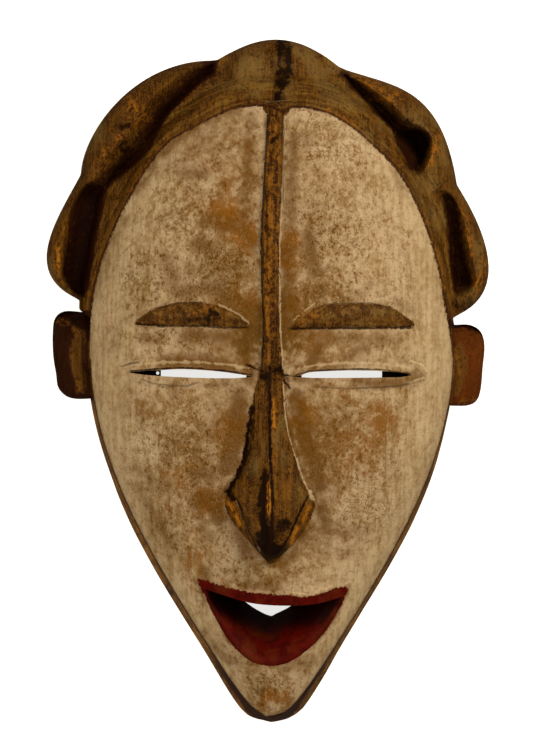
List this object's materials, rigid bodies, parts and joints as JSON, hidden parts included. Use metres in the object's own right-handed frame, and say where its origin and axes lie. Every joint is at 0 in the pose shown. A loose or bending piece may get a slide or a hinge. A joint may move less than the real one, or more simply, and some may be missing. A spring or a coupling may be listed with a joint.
{
  "type": "carved wooden face mask",
  "caption": "Carved wooden maiden spirit face mask with a pale painted face, keeled nose, slit eyes, smiling red mouth, lobed coiffure and ears, hollow behind.",
  "frame": {"origin": "middle of the outline's box, on the plane of the back rim that the mask lies on", "axes": "+Z out of the face, +Y from chin to crown, +X to the viewer's right"},
  "size_m": [0.2206, 0.341, 0.106],
  "materials": {
    "painted_wood": "carved wood with worn chalky white paint on the face, dark brown hair, brows, ridge and nose, and red lips"
  },
  "bodies": {
    "root": {"mask": "painted_wood"}
  },
  "joints": []
}
